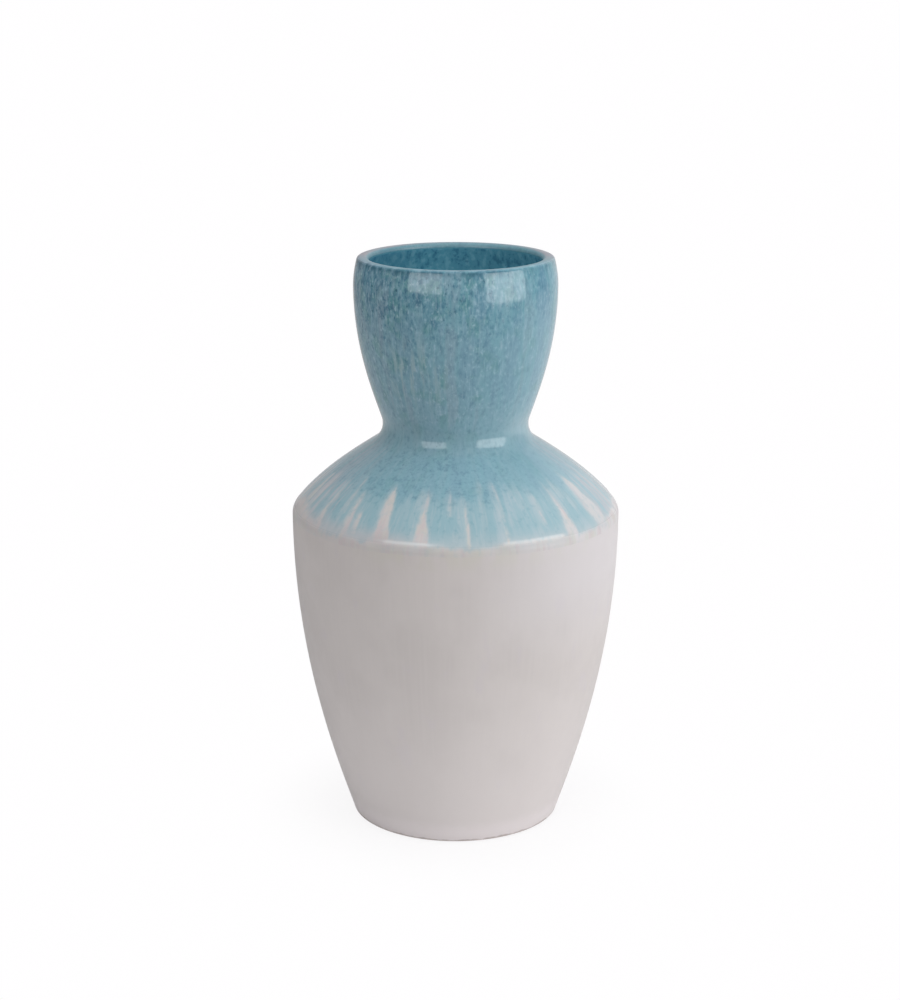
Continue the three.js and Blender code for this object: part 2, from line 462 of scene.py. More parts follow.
def upperOf(fine):
    # Every stretch from the seam at the shoulder's edge to the last place in the mouth, by name. fine
    # multiplies the number of steps.
    thick = size["glaze"] + size["wall"] + size["liner"]
    steps = {name: max(2, round(count * fine)) for name, count in stretchSteps.items()}
    edgeRounding = thick + shape["edgeCorner"]
    edgeCentre = np.array([size["shoulderRadius"] - edgeRounding, size["edgeTop"]])
    waistX = size["waistRadius"] + shape["waistRounding"]
    found = {
        "edgeBand": uprightOf(size["shoulderRadius"], size["edgeBottom"], size["edgeTop"]),
        "edge": roundOf(edgeCentre, edgeRounding, even(steps["edge"]) * shape["edgeLean"]),
        "waistIn": roundOf(
            np.array([waistX, size["waistBottom"]]), shape["waistRounding"],
            (1 - even(steps["waist"])) * shape["shoulderLean"], hollow=True,
        ),
        "waistBand": uprightOf(size["waistRadius"], size["waistBottom"], size["waistTop"]),
        "waistOut": roundOf(
            np.array([waistX, size["waistTop"]]), shape["waistRounding"],
            -even(steps["waistOut"]) * shape["neckLean"], hollow=True,
        ),
    }
    found["dome"] = sweepOf(
        found["edge"][0][-1], shape["edgeLean"], shape["shoulderPull"],
        found["waistIn"][0][0], shape["shoulderLean"], shape["shoulderPull"],
        even(steps["dome"], shape["domeEase"]),
    )
    lipOut = facingOf(wayOf(np.array(float(shape["lipLean"]))))
    lipRounding = shape["clayLip"] + size["glaze"]
    mouthLevel = size["height"] - lipRounding * (1 + lipOut[1])
    lipStart = np.array([size["cupRadius"] - shape["lipTuck"], mouthLevel + thick * lipOut[1]])
    crestCentre = lipStart + lipOut * (lipRounding - thick)
    cupWidest = np.array([size["cupRadius"], size["height"] - shape["cupDrop"]])
    found["neck"] = sweepOf(
        found["waistOut"][0][-1], -shape["neckLean"], shape["neckPull"], cupWidest, 0, shape["cupPull"],
        even(steps["neck"]),
    )
    found["tuck"] = sweepOf(
        cupWidest, 0, shape["shoulderPull"], lipStart, shape["lipLean"], shape["shoulderPull"],
        even(steps["tuck"]),
    )
    found["lip"] = sweepOf(
        lipStart, shape["lipLean"], shape["lipPull"], np.array([crestCentre[0], size["height"]]), 90,
        shape["crestPull"], even(steps["lip"]),
    )
    found["mouth"] = roundOf(crestCentre, lipRounding, 90 + even(steps["mouth"]) * (90 + shape["lipLean"]))
    return found


def pick(stretches, *names):
    return chainOf(*[stretches[name] for name in names])


def runOf(at):
    # distance along the outline from its first place
    return np.r_[0, np.cumsum(np.linalg.norm(np.diff(at, axis=0), axis=1))]


def turned(name, at, segments, out=None, stand=None, uvShare=None):
    # A closed half section carried round the axis: x = r sin a, y = -r cos a, z = level, with a = 0 towards
    # the front. stand moves each place along out, by one height for each row and each segment.
    azimuth = np.arange(segments) * (2 * math.pi / segments)
    radius = np.repeat(at[:, :1], segments, axis=1)
    level = np.repeat(at[:, 1:], segments, axis=1)
    if stand is not None:
        radius = radius + out[:, :1] * stand
        level = level + out[:, 1:] * stand
    places = np.stack([radius * np.sin(azimuth), -radius * np.cos(azimuth), level], axis=-1)
    rows = len(at)
    closed = at[0, 0] > 0
    i = np.arange(rows if closed else rows - 1)[:, None]
    j = np.arange(segments)[None, :]
    above, beside = (i + 1) % rows, (j + 1) % segments
    faces = np.stack([
        i * segments + j, i * segments + beside, above * segments + beside, above * segments + j,
    ], axis=-1)
    mesh = bpy.data.meshes.new(name)
    mesh.from_pydata(places.reshape(-1, 3).tolist(), [], faces.reshape(-1, 4).tolist())
    if uvShare is not None:
        # round the vase by along its section, with the room for each row set by uvShare
        low = np.r_[0, np.cumsum(uvShare)][: len(i)]
        high = low + uvShare[: len(i)]
        corners = np.empty((len(i), segments, 4, 2))
        corners[..., 0] = (j[..., None] + np.array([0, 1, 1, 0])) / segments
        corners[..., 1] = np.stack([low, low, high, high], axis=1)[:, None]
        layer = mesh.uv_layers.new(name="OFBake")
        layer.data.foreach_set("uv", corners.ravel().astype(np.float32))
    if not closed:
        build = bmesh.new()
        build.from_mesh(mesh)
        bmesh.ops.remove_doubles(build, verts=build.verts, dist=mergeReach)
        build.to_mesh(mesh)
        build.free()
    mesh.shade_smooth()
    mesh.set_sharp_from_angle(angle=math.radians(sharpTurn))
    piece = bpy.data.objects.new(name, mesh)
    bpy.context.scene.collection.objects.link(piece)
    return piece


def addValues(piece, name, values):
    attribute = piece.data.attributes.new(name, "FLOAT", "POINT")
    attribute.data.foreach_set("value", values.ravel().astype(np.float32))


def dress(piece, node, material):
    piece.data.materials.append(material)
    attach(piece, "root")
    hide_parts(node)
    print("made", piece.name, len(piece.data.vertices), "vertices")


def ripple(azimuth, waves, seed):
    # a sum of cosines round the vase, one for each count of waves, each with its own place and strength
    dice = np.random.default_rng(seed)
    phase = dice.uniform(0, 2 * math.pi, len(waves))
    weight = dice.uniform(0.5, 1, len(waves))
    total = sum(w * np.cos(k * azimuth + p) for k, w, p in zip(waves, weight, phase))
    return total / weight.sum()


def smooth(low, high, value):
    t = np.clip((value - low) / (high - low), 0, 1)
    return t * t * (3 - 2 * t)


segments = 480
azimuths = np.arange(segments) * (2 * math.pi / segments)
sides = np.sin(azimuths)
innerSegments = 240
# the wall's unevenness: its depth, its waves round the vase, and how fast they change with height
hand = {"depth": 0.12 * mm, "waves": (2, 3, 5), "perMetre": 21}


def unevenness(at):
    # how far the hand-thrown wall lies inside its true circle, by height and by azimuth
    wave = ripple(azimuths, hand["waves"], 11) * np.cos(at[:, 1:] * hand["perMetre"])
    return -hand["depth"] * (0.5 + 0.5 * wave)


def turnsFrom(middle):
    # degrees round the vase from this azimuth, -180 to 180
    return (np.degrees(azimuths) - middle + 180) % 360 - 180


def turnBell(middle, reach, most):
    return most * np.exp(-((turnsFrom(middle) / reach) ** 2))


turns = turnsFrom(0)


def closeSection(at, out, depth, turnStep=8, runStep=9 * mm):
    # the outside, then the bonded side behind it, back to the start, with a row wherever the wall has turned
    # by turnStep degrees or run on by runStep
    lean = np.degrees(np.unwrap(np.arctan2(out[:, 1], out[:, 0])))
    spent = np.cumsum(np.r_[0, np.abs(np.diff(lean)) / turnStep]) + runOf(at) / runStep
    keep = np.unique(np.r_[0, np.flatnonzero(np.diff(np.floor(spent))) + 1, len(at) - 1])
    backAt = (at - out * depth)[keep][::-1]
    backOut = out[keep][::-1]
    return np.vstack([at, backAt]), np.vstack([out, backOut])


def lowerCavity(coat):
    # the cavity's face under a coat of this depth: down the belly's inside, round the corner and to the axis
    at, out = bellyOf(innerSteps)
    inside = at - out * (size["glaze"] + size["wall"])
    cornerLevel = size["floorTop"] + shape["floorCorner"]
    start = np.array([np.interp(cornerLevel, inside[:, 1], inside[:, k]) for k in (0, 1)])
    startOut = np.array([np.interp(cornerLevel, inside[:, 1], out[:, k]) for k in (0, 1)])
    startOut /= np.linalg.norm(startOut)
    # the wall's own rows stop a little above the corner
    above = inside[:, 1] > cornerLevel + shape["cornerClear"]
    wallAt = np.vstack([start, inside[above]])[::-1]
    wallOut = np.vstack([startOut, out[above]])[::-1]
    # the corner: a cubic curve that leaves down the wall and arrives level
    stop = np.array([start[0] - shape["floorCorner"], size["floorTop"]])
    pull = shape["floorPull"] * np.linalg.norm(stop - start)
    after = start + facingOf(startOut) * pull
    before = stop + np.array([1, 0]) * pull
    cornerAt, way = cubicOf(start, after, before, stop, even(cornerSteps))
    floorX = np.linspace(stop[0], 0, floorSteps + 1)[1:]
    floorAt = np.stack([floorX, np.full(floorSteps, size["floorTop"])], axis=1)
    at = np.vstack([wallAt, cornerAt[1:], floorAt])
    out = np.vstack([wallOut, -facingOf(way)[1:], np.tile([0, -1], (floorSteps, 1))])
    return at - out * coat, out


def mapShares(at, outsideRows, most=0.94):
    # the outside's rows share most of the map's height by their length, and the hidden rows share the rest
    step = np.linalg.norm(np.diff(np.vstack([at, at[:1]]), axis=0), axis=1)
    share = step.copy()
    share[: outsideRows - 1] *= most / step[: outsideRows - 1].sum()
    share[outsideRows - 1 :] *= (1 - most) / step[outsideRows - 1 :].sum()
    return share


addCamera()
for lampName, lampBox in lamps.items():
    addLamp(lampName, lampBox)
addRoom()
print("camera, lamps and sweep are in place")

glazeRuns = runsGroup()
glazeCloud = cloudGroup()
glazeSpecks = specksGroup()


# Cream coat

cream = {
    "base": (207, 201, 199),
    "light": (209, 203, 201),
    "dark": (204, 198, 196),
    "lilac": (204, 197, 202),
    "straw": (203, 201, 188),
    "strawFrom": (0.18, 0.194),  # levels in metres, as all here
    "strawLeft": (-0.06, -0.02),
    # painted light on the lit right of the body, and where it lies by x and by level in metres
    "rightPaintedLight": (216, 212, 215),
    "rightLightFrom": (-0.02, 0.09),
    "rightLightHigh": (0.11, 0.175),
    # painted light bounced up from the floor: paler low on the body, and paler still at the foot
    "lowBounceLight": (217, 211, 210),
    "bounceLightFrom": 130 * mm,
    "footBounceLight": (234, 227, 229),
    "footLightFrom": (0.017, 0.006),
    "footLine": (176, 164, 160),
    "lineFrom": (0.0026, 0.0014),
    "ragged": 3 * mm,
    "steps": 72,
}


def creamColor(tree):
    # the cream glaze's colour, with painted light on its right, the same on both coats, so that it runs on
    # past their border
    brushed = useGroup(tree, glazeRuns, Width=1.4, Length=70, Detail=4)
    cloud = useGroup(tree, glazeCloud, Size=34, Stretch=1.2, Detail=3)
    patch = useGroup(tree, glazeCloud, Size=14, Stretch=1.8, Detail=2, Shift=9)
    color = coated(tree, shade(*cream["dark"]), ramp(tree, cloud, 0.36, 0.64), cream["light"])
    color = coated(tree, color, ramp(tree, brushed, 0.42, 0.62, 0, 0.6), cream["base"])
    color = coated(tree, color, ramp(tree, patch, 0.6, 0.75, 0, 0.4), cream["lilac"])
    # straw-coloured patches where the two glazes meet, fewer on the left
    parts = placeParts(tree)
    near = ramp(tree, parts["Z"], *cream["strawFrom"], 0, 0.6)
    straw = times(tree, near, ramp(tree, patch, 0.56, 0.4))
    straw = times(tree, straw, ramp(tree, parts["X"], *cream["strawLeft"], 0.2, 1))
    color = coated(tree, color, straw, cream["straw"])
    # painted light: a little paler and pinker high on the right, the side that the lamps light most
    high = ramp(tree, parts["Z"], *cream["rightLightHigh"], 0, 0.7)
    right = times(tree, ramp(tree, parts["X"], *cream["rightLightFrom"]), high)
    return coated(tree, color, right, cream["rightPaintedLight"])


def creamMaterial():
    material, tree, surface = newMaterial("creamGlaze")
    color = creamColor(tree)
    level = placeParts(tree)["Z"]
    ragged = useGroup(tree, glazeCloud, Size=6, Detail=2)
    edge = fromHalf(tree, ragged, cream["ragged"], level)
    # painted light bounced up from the floor: paler towards the foot, most in its last few millimetres; and
    # a thin dark line where it stands
    down = place(tree, "ShaderNodeMapRange", {
        "Value": level, "From Min": cream["bounceLightFrom"], "From Max": 0,
    })
    color = coated(tree, color, calc(tree, "POWER", down.outputs["Result"], 1.5), cream["lowBounceLight"])
    color = coated(tree, color, ramp(tree, edge, *cream["footLightFrom"], 0, 0.45), cream["footBounceLight"])
    color = coated(tree, color, ramp(tree, edge, *cream["lineFrom"], 0, 0.8), cream["footLine"])
    setInputs(tree, surface, {
        "Base Color": color, "Roughness": ramp(tree, ragged, 0.3, 0.7, 0.42, 0.5), "IOR": 1.5,
    })
    return material


def makeCream():
    at, out = bellyOf(cream["steps"])
    outside = len(at)
    at, out = closeSection(at, out, size["glaze"])
    piece = turned("creamCoat", at, segments, out, unevenness(at), mapShares(at, outside))
    dress(piece, "cream_glaze", creamMaterial())


# Blue coat

blue = {
    "teal": (101, 155, 170),
    "slate": (96, 140, 163),
    "slateSide": (80, 124, 146),
    "green": (98, 152, 150),
    "lilac": (146, 160, 176),
    "blot": (70, 114, 138),
    "deep": (54, 94, 114),
    "pool": (60, 104, 122),
    "pale": (136, 172, 190),
    "paler": (164, 194, 208),
    "hazy": (153, 187, 198),
    "veil": (160, 184, 188),
    "run": (149, 182, 192),
    "runPale": (167, 189, 198),
    "fade": (190, 199, 203),
    "sideGrey": (168, 178, 188),
    "sidePaintedLight": (186, 206, 214),
    "vein": (188, 184, 190),
    "leftPaintedShade": (186, 178, 181),
    "edgePaintedShade": (234, 237, 239),
    "beadPaleAndHighlight": (222, 228, 230),
    "barePink": (205, 188, 191),
    "bareYellow": (204, 203, 194),
    "rim": (150, 148, 156),
    "rimTeal": (106, 148, 160),
    "inMouth": (86, 152, 172),
    "ridgeRun": 202.5 * mm,  # where the upper glaze ends in a low bead, along the wall from the foot
    "ridgeHeight": 0.78 * mm,
    "ridgeWidth": 2.4 * mm,
    "ridgeFade": 9 * mm,
    "ridgeWobble": 0.2 * mm,
    "ridgeRounding": 0.3,  # the share of its slope that is rounded
    "ridgeEnds": (5, 2),  # how many degrees past a stretch's end it is gone, and before it still full
    # the bead's full stretches: azimuth and reach each way in degrees, and how pale the line along it is
    # there, partly glaze breaking pale and partly painted highlight
    "ridgeFull": ((-17, 9, 0.55), (28, 13, 0.1), (120, 16, 0.2), (205, 12, 0.3)),
    "gapSink": 0.18 * mm,
    "denseWander": 4,  # mm by which the end of the dense glaze wanders
    "endWander": 0.35,  # the same for the end of the coat
    "backEnd": 203.2, "backWander": 1.4,  # where the coat ends at the back, and by how much it wanders there
    "edgeShadeBetween": 0.15,  # how much of the painted shade at the edge stays where there is no bead
    "wornLip": ((-110, 38, 0.9), (98, 24, 0.8)),  # azimuth and reach in degrees, and how strong
    "glossRun": 201.2,  # satin below and glossy above, in mm along the wall
    "glossBlur": 0.3, "glossBlurBetween": 4.5,  # mm over which it starts, and how much more without a bead
    "runSteps": 400,  # to measure the run up the belly
    "hiddenTurn": 16, "hiddenRun": 16 * mm,  # how coarse the hidden side may be
}

# Where each look lies on the blue coat. A slope is four numbers: from where to where, and its strength at
# both. A bell is a middle, a reach and a strength. Levels, and runs along the wall from the foot, are in
# millimetres, azimuths in degrees, sides are sines of the azimuth, and lip places go from 0 outside to 1 in
# the mouth.
slopes = {
    "backShare": (75, 105, 0, 1),  # by azimuth, where the coat's end wanders by itself
    "endSoft": (-0.4, -0.75, 0.55, 0.35),
    "endRagged": (-0.4, -0.75, 0.35, 0.7),
    "sinkEdge": (-1, 1, 0, 1),
    "sinkRun": (1, 4, 0, 1),
    "denseEnd": (0.2, 0.5, 232.5, 235),  # by side, the run at which the dense glaze ends
    "runZone": (-9, 11, 0, 1),
    "runLow": (213, 201, 0, 1),
    "flecks": (296, 338, 0.4, 1),
    "flecksLeftLevel": (270, 300, 0, 0.4),
    "flecksLeftSide": (-0.1, -0.7, 0, 1),
    "milkyCup": (340, 300, 0.12, 0.4),
    "milkyDome": (262, 240, 0, 0.16),
    "busy": (246, 266, 0.35, 1.1),
    "wornBack": (0.2, -0.4, 0, 0.3),
    "crestUp": (0, 0.22, 0, 1),
    "crestDown": (0.72, 0.56, 0, 1),
    "innerUp": (0.25, 0.5, 0, 1),
    "innerDown": (1, 0.85, 0, 1),
    "mouth": (0.85, 1, 0, 1),
    "satinUp": (0.05, 0.3, 0, 0.75),
    "slateLeft": (-0.12, -0.75, 0, 1),
    "slateNeck": (245, 262, 0, 0.4),
    "slateCup": (285, 315, 0, 0.6),
    "greyDome": (250, 232, 0, 1),
    "greyLeft": (-0.7, -0.97, 0, 1),
    "greyRight": (0.85, 0.98, 0, 0.7),
    "paleDome": (236, 218, 0, 0.24),
    "paleSide": (0.1, 0.9, 0, 1),
    "waistRight": (0.45, 0.9, 0, 1),
    "waistLeft": (-0.8, -0.98, 0, 1),
    "lively": (-0.3, 0.35, 0.4, 0.9),
    "leftShadeSide": (-0.15, -0.45, 0, 1),
}
bells = {
    "calm": (58, 38, 1),  # the glaze is blotched dark all round the cup but for its right, where it is calm
    "milkyWaist": (256, 14, 0.22),
    "veilLevel": (288, 17, 1),
    "veilTurn": (-27, 20, 1),
    "paleWaist": (251, 9, 0.28),
    "leftPaintedShade": (203, 5, 1),
    "edgePaintedShade": (199.6, 2.2, 1),
    "underLip": (0, 1.8, 1),
    "beadPaleAndHighlight": (0, 0.9, 1),
}


def slope(name, value):
    low, high, least, most = slopes[name]
    return least + (most - least) * smooth(low, high, value)


def bell(name, value):
    middle, reach, most = bells[name]
    return most * np.exp(-(((value - middle) / reach) ** 2))


# Where the glaze broke open over the shoulder, from the front view: azimuth at the top and at the bottom in
# degrees, top and bottom level and half width at each in millimetres, and how bare it is.
gaps = [
    (-29.4, -26.7, 222.5, 196, 1, 6.8, 1), (-13, -12, 214.5, 196, 0.8, 6.2, 1),
    (-15, -14.5, 220.5, 215.5, 1.8, 2.2, 0.45), (-12.4, -12.4, 221, 214, 1.4, 1.5, 0.85),
    (-2.6, -2.4, 221.5, 212.5, 1.1, 1.1, 0.75), (3.4, 4.3, 219.5, 200, 0.8, 1.7, 0.8),
    (4.3, 4.2, 209, 197, 1.2, 2.5, 1), (-0.4, -0.4, 204, 196, 0.4, 1.6, 0.6),
    (11.5, 9.5, 226, 203, 0.9, 1.3, 0.42), (18, 18.6, 225, 209, 1.1, 1.1, 0.75),
    (18.4, 17.8, 206.5, 196, 0.4, 1.8, 1), (21.4, 21.2, 211, 207, 0.4, 0.4, 0.35),
    (28.5, 28.5, 223, 214, 0.7, 0.8, 0.35), (35, 34, 218, 205, 1.1, 1.3, 0.75),
    (32, 31, 212, 199, 0.5, 0.9, 0.3), (45, 44.6, 221, 211, 1.5, 2.2, 0.55),
    (45, 44.2, 215, 196, 1.6, 5.6, 0.95), (50.5, 51, 221, 215, 1.3, 1.3, 0.55),
    (53.5, 53.5, 216, 210, 1.6, 2, 0.4), (62, 62.6, 220.5, 196, 2.8, 9, 0.8),
    (73, 71.5, 220, 208, 1.2, 1.6, 0.25), (80, 79, 222, 196, 1.8, 4.6, 0.35),
    (-35, -34, 206, 197, 1, 5, 0.3), (-39.2, -38, 209, 200, 1.2, 2.2, 0.9),
    (-43.8, -42.8, 216.5, 196, 1.5, 4, 0.8), (-50, -47.5, 224, 208, 1.5, 1.3, 0.65),
    (-48, -48, 206, 196, 0.8, 2.2, 0.35), (-52.5, -51, 204, 196, 0.8, 3, 0.6),
    (-59.2, -58.2, 220, 199, 1.8, 3, 0.7), (-58.6, -57, 207, 198, 2.4, 5.5, 0.85),
    (-66, -65, 215, 199, 1.2, 2.4, 0.5), (-71.5, -71, 221, 196, 1.6, 4, 0.6),
    (-78, -75.5, 220, 196, 2, 5.5, 0.75), (-90, -88, 222, 196, 1.8, 4.8, 0.7),
]

# Where the blue coat's colour ends, by azimuth in degrees and in millimetres along the wall, with the bead
# at 202.5. Further round the back it wanders by itself.
coatEnd = [
    (-90, 211), (-82, 212), (-74, 212), (-68, 208.5), (-63, 205.5), (-57, 204.5), (-52, 203),
    (-46, 201.6), (-38, 202.6), (-30, 203.5), (-24, 203.6),
    (-9, 203.4), (-4, 201.4), (8, 200.8), (14, 202), (19, 203.4), (40, 203.3), (46, 201.6), (56, 201),
    (66, 203), (73, 204.5), (82, 207), (92, 208),
]

# How an opening is shaped, in millimetres.
opening = {
    "flare": 0.6,  # under 1, so that it widens soon below its top
    "waver": 0.15, "waverLength": 2.7,  # the ripple of its edges, as a share of its width
    "width": 0.85,  # the share of its half width that is fully open
    "overTop": 0.8, "underEnd": 1.4,  # how fast it closes past its two ends
    "softSide": 0.5,  # its left side is this much as steep as its right
    "shut": -9, "most": 4, "sharing": 1.3,  # how openings near each other share a place
}

# The openings round the side that the front view doesn't show are of the same kind, drawn from these ranges.
# The last two are what the weakest has, and what the strongest adds.
backOpening = {
    "from": 92, "to": 262, "apart": (6, 14), "top": (206, 225), "bottom": 196, "lean": (-2, 2),
    "topHalf": (0.6, 1.6), "endHalf": (1.8, 5.5), "bare": (0.55, 0.45),
}


def backGaps():
    dice = np.random.default_rng(7)
    found = []
    azimuth = backOpening["from"]
    half, wider = backOpening["endHalf"]
    bare, barer = backOpening["bare"]
    while azimuth < backOpening["to"]:
        strong = dice.uniform()
        top = dice.uniform(*backOpening["top"])
        endTurn = azimuth + dice.uniform(*backOpening["lean"])
        topHalf = dice.uniform(*backOpening["topHalf"])
        endHalf = half + wider * strong ** 2
        found.append((azimuth, endTurn, top, backOpening["bottom"], topHalf, endHalf, bare + barer * strong))
        azimuth += dice.uniform(*backOpening["apart"])
    return found


def coatEndOf():
    known = np.array(coatEnd)
    front = np.interp(turns, known[:, 0], known[:, 1])
    back = blue["backEnd"] + blue["backWander"] * ripple(azimuths, (5, 9, 14), 5)
    share = slope("backShare", np.abs(turns))
    return front * (1 - share) + back * share + blue["endWander"] * ripple(azimuths, (23, 37, 58), 3)


def gapFields(at, along):
    # Distance into the nearest gap, in millimetres: its half width at this height less the distance from its
    # middle line, and less again above its top and under its bottom. The end of the whole coat is a gap all
    # round. A place is as bare and as ragged as the gaps are, weighed by how near each one is.
    radius = at[:, :1] / mm
    level = at[:, 1:] / mm
    depth = np.full((len(at), segments), opening["shut"])
    weights = np.full((len(at), segments), 1e-6)
    strength = weights.copy()
    ragged = weights.copy()

    def reckon(found, bare, rag):
        nonlocal depth, weights, strength, ragged
        weight = np.exp(np.clip(found, opening["shut"], opening["most"]) * opening["sharing"])
        depth = np.maximum(depth, found)
        weights = weights + weight
        strength = strength + weight * bare
        ragged = ragged + weight * rag

    for topTurn, endTurn, top, bottom, topHalf, endHalf, bare in gaps + backGaps():
        t = np.clip((top - level) / (top - bottom), 0, 1)
        middle = np.radians(topTurn + (endTurn - topTurn) * t)
        aside = (azimuths - middle + math.pi) % (2 * math.pi) - math.pi
        half = topHalf + (endHalf - topHalf) * t ** opening["flare"]
        half = half * (1 + opening["waver"] * np.cos(level / opening["waverLength"] + topTurn))
        beyond = np.maximum(level - top, 0) * opening["overTop"]
        beyond = beyond + np.maximum(bottom - level, 0) * opening["underEnd"]
        found = half * opening["width"] - np.abs(aside) * radius - beyond
        # soft on its left side and crisper on its right
        reckon(found * np.where(aside < 0, opening["softSide"], 1), bare, 1)
    # the coat's own end is softer and more ragged on the left
    reckon((coatEndOf() - along) * slope("endSoft", sides), 1, slope("endRagged", sides))
    return depth, strength / weights, ragged / weights


# Colour layers, laid in the order given: the colour, the mask that it follows, from where to where on that
# mask, its share at both, and the field that weighs it, if any.
layers = {
    "neck": (
        ("slate", "broad", 0.42, 0.62, 0, 0.8, None),
        ("slateSide", "streak", 0.35, 0.6, 0.35, 0.85, "slateSide"),
    ),
    "dense": (
        ("green", "patch", 0.5, 0.66, 0, 0.45, "busy"),
        ("lilac", "broad", 0.46, 0.34, 0, 0.35, "busy"),
        ("pale", "mottle", 0.5, 0.74, 0, 0.6, "speckled"),
        ("blot", "mottle", 0.5, 0.26, 0, 0.75, "darkFlecks"),
        ("paler", "thread", 0.52, 0.7, 0, 0.3, "speckled"),
        ("paler", "flecks", 0.54, 0.74, 0, 0.55, "speckled"),
        ("blot", "flecks", 0.48, 0.28, 0, 0.55, "darkFlecks"),
        ("veil", "streak", 0.5, 0.6, 0, 0.7, "veil"),
    ),
    "pooled": (("pool", "mottle", 0.62, 0.42, 0.4, 0.9, "underLip"),),
    "thin": (
        ("runPale", "streak", 0.44, 0.66, 0, 1, "lively"),
        ("fade", "thread", 0.5, 0.66, 0, 0.2, None),
        ("teal", "mottle", 0.46, 0.32, 0, 0.2, None),
    ),
    "side": (
        ("sideGrey", "streak", 0.4, 0.6, 0.25, 0.65, "sideGrey"),
        ("vein", "streak", 0.48, 0.57, 0, 0.6, "veined"),
    ),
    "bare": (
        ("barePink", "streak", 0.48, 0.64, 0, 0.6, None),
        ("bareYellow", "patch", 0.46, 0.34, 0, 0.5, None),
    ),
    "lip": (("rim", "patch", 0.35, 0.6, 0.65, 1, "rim"),),
}


def blueMaterial(fields):
    material, tree, surface = newMaterial("blueGlaze")
    mark = {name: place(tree, "ShaderNodeAttribute", attribute_name=name).outputs["Fac"] for name in fields}
    mask = {
        "broad": useGroup(tree, glazeRuns, Width=12, Length=45, Detail=2, Shift=11),
        "streak": useGroup(tree, glazeRuns, Width=4.5, Length=26, Detail=3, Shift=5),
        "thread": useGroup(tree, glazeRuns, Width=1.5, Length=12, Detail=3, Shift=2),
        "patch": useGroup(tree, glazeCloud, Size=11, Stretch=1.3, Detail=2, Shift=3),
        "mottle": useGroup(tree, glazeCloud, Size=3.2, Stretch=1.9, Detail=3, Shift=1),
        "flecks": useGroup(tree, glazeCloud, Size=1.7, Stretch=1.7, Detail=2, Shift=7),
    }
    blots = useGroup(
        tree, glazeSpecks, Spacing=4.8, Size=4.2, Stretch=1.4, Share=0.4, Ragged=0.4, Shift=4,
    )
    specks = useGroup(
        tree, glazeSpecks, Spacing=3.4, Size=2.2, Stretch=1.2, Share=0.35, Ragged=0.3, Shift=8,
    )
    lights = useGroup(
        tree, glazeSpecks, Spacing=2, Size=1.5, Stretch=1.8, Share=0.4, Ragged=0.2, Shift=2,
    )

    def over(color, share, tone):
        return coated(tree, color, share, blue[tone])

    def layered(color, group):
        for tone, followed, low, high, least, most, field in layers[group]:
            share = ramp(tree, mask[followed], low, high, least, most)
            if field:
                share = times(tree, share, mark[field])
            color = over(color, share, tone)
        return color

    # the dense glaze of the neck and the upper shoulder, with mottle that comes and goes
    mark["speckled"] = times(tree, mark["busy"], ramp(tree, mask["patch"], 0.3, 0.6, 0.8, 1.2))
    color = layered(shade(*blue["teal"]), "neck")
    # milkier down the neck, and most on the shoulder, where the mottle also fades
    color = over(color, mark["hazy"], "hazy")
    color = layered(color, "dense")
    color = over(color, times(tree, times(tree, blots, 0.6), mark["darkFlecks"]), "blot")
    color = over(color, times(tree, times(tree, specks, 0.55), mark["darkFlecks"]), "deep")
    color = over(color, times(tree, lights, 0.18), "paler")
    color = layered(color, "pooled")

    # the thinner glaze that ran out over the shoulder's edge
    thin = layered(shade(*blue["run"]), "thin")
    thin = over(thin, times(tree, mark["runLow"], 0.5), "fade")
    uneven = fromHalf(tree, mask["mottle"], 0.8, fromHalf(tree, mask["streak"], 1.2))
    zone = ramp(tree, calc(tree, "ADD", mark["runZone"], uneven), 0, 1)
    color = blendColor(tree, zone, color, thin)
    # painted light on the dome's right and painted sheen at the waist's far ends
    color = over(color, mark["sidePaintedLight"], "sidePaintedLight")
    mark["veined"] = times(tree, mark["sideGrey"], zone)
    color = layered(color, "side")

    # bare stretches, cream with a touch of pink or straw, and a thin pale film along their edges
    bare = layered(creamColor(tree), "bare")
    ragged = fromHalf(tree, mask["streak"], 2.4, fromHalf(tree, mask["thread"], 1))
    ragged = fromHalf(tree, mask["patch"], 2, ragged)
    into = calc(tree, "MULTIPLY_ADD", mark["ragged"], ragged, mark["gapDepth"])
    opened = times(tree, ramp(tree, into, -2.3, 2), mark["gapBare"])
    opened = times(tree, opened, ramp(tree, mask["mottle"], 0.36, 0.54, 0.8, 1))
    color = over(color, times(tree, opened, 0.85), "fade")
    color = blendColor(tree, ramp(tree, opened, 0.35, 1, 0, 0.9), color, bare)
    # a pale line along the bead: the glaze breaking thin there, and a painted highlight over it, most on the
    # left
    color = over(color, mark["beadPaleAndHighlight"], "beadPaleAndHighlight")
    # painted shade where the wall turns up over the edge, and more painted shade at the far left
    color = blendColor(tree, mark["edgePaintedShade"], color, shade(*blue["edgePaintedShade"]), kind="MULTIPLY")
    color = over(color, times(tree, mark["leftPaintedShade"], 0.4), "leftPaintedShade")

    # thin over the lip, deeper inside the mouth
    color = over(color, mark["inMouth"], "inMouth")
    color = over(color, times(tree, mark["rimTeal"], 0.7), "rimTeal")
    color = layered(color, "lip")
    # a faint unevenness under the gloss
    swell = useGroup(tree, glazeCloud, Size=7, Detail=1, Shift=6)
    setInputs(tree, surface, {
        "Base Color": color, "Roughness": ramp(tree, mark["satin"], 0, 1, 0.1, 0.42), "IOR": 1.6,
        "Normal": bumped(tree, swell, 0.6, 0.05 * mm),
    })
    return material


